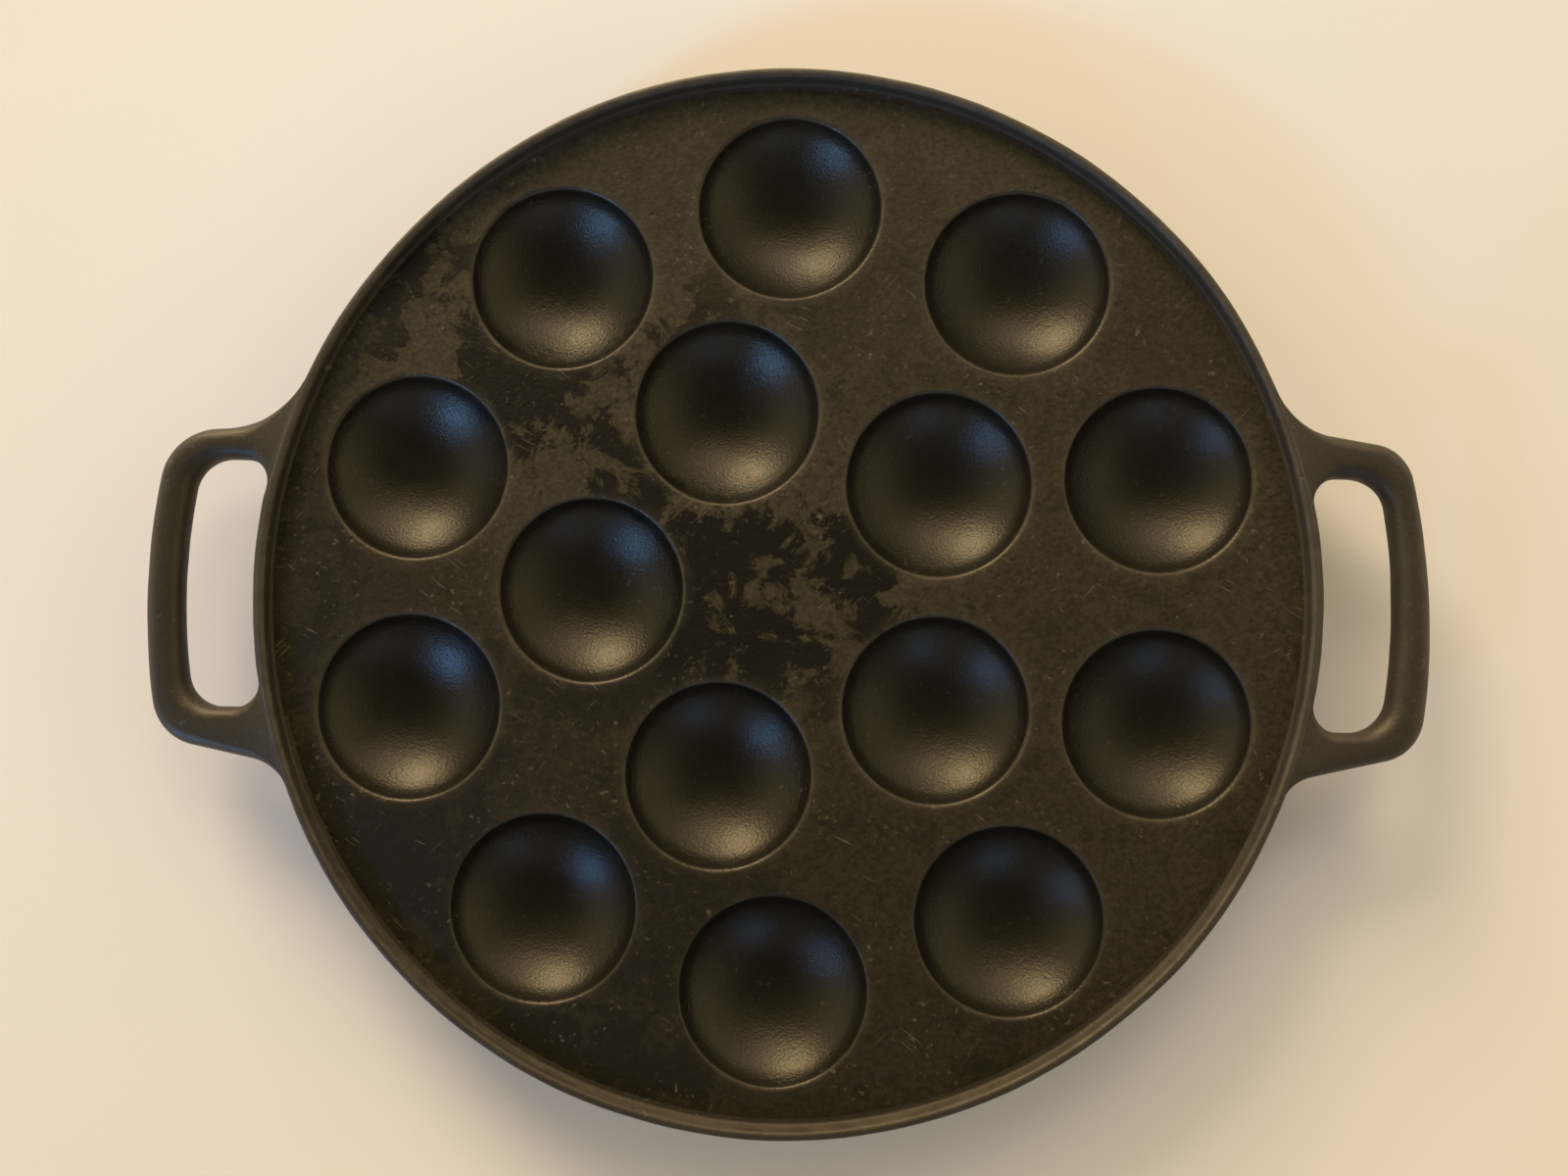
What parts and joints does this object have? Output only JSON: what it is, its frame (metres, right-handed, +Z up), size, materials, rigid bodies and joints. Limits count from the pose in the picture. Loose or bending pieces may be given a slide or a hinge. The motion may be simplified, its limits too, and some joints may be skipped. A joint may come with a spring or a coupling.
{
  "type": "poffertjes pan",
  "caption": "Round cast-iron pan with two rings of shallow round cups, a low raised rim, a skirt to stand on and a loop handle at each side.",
  "frame": {"origin": "middle of the ring that the pan stands on, at the resting surface", "axes": "+X through the right handle, +Z up out of the cups, +Y towards the outer cup that stands alone at the top of the picture"},
  "size_m": [0.303, 0.25, 0.0215],
  "materials": {
    "seasoned_iron": "seasoned cast iron, almost black, satin in the cups and matte and mottled on the plate"
  },
  "bodies": {
    "root": {"pan": "seasoned_iron"}
  },
  "joints": []
}
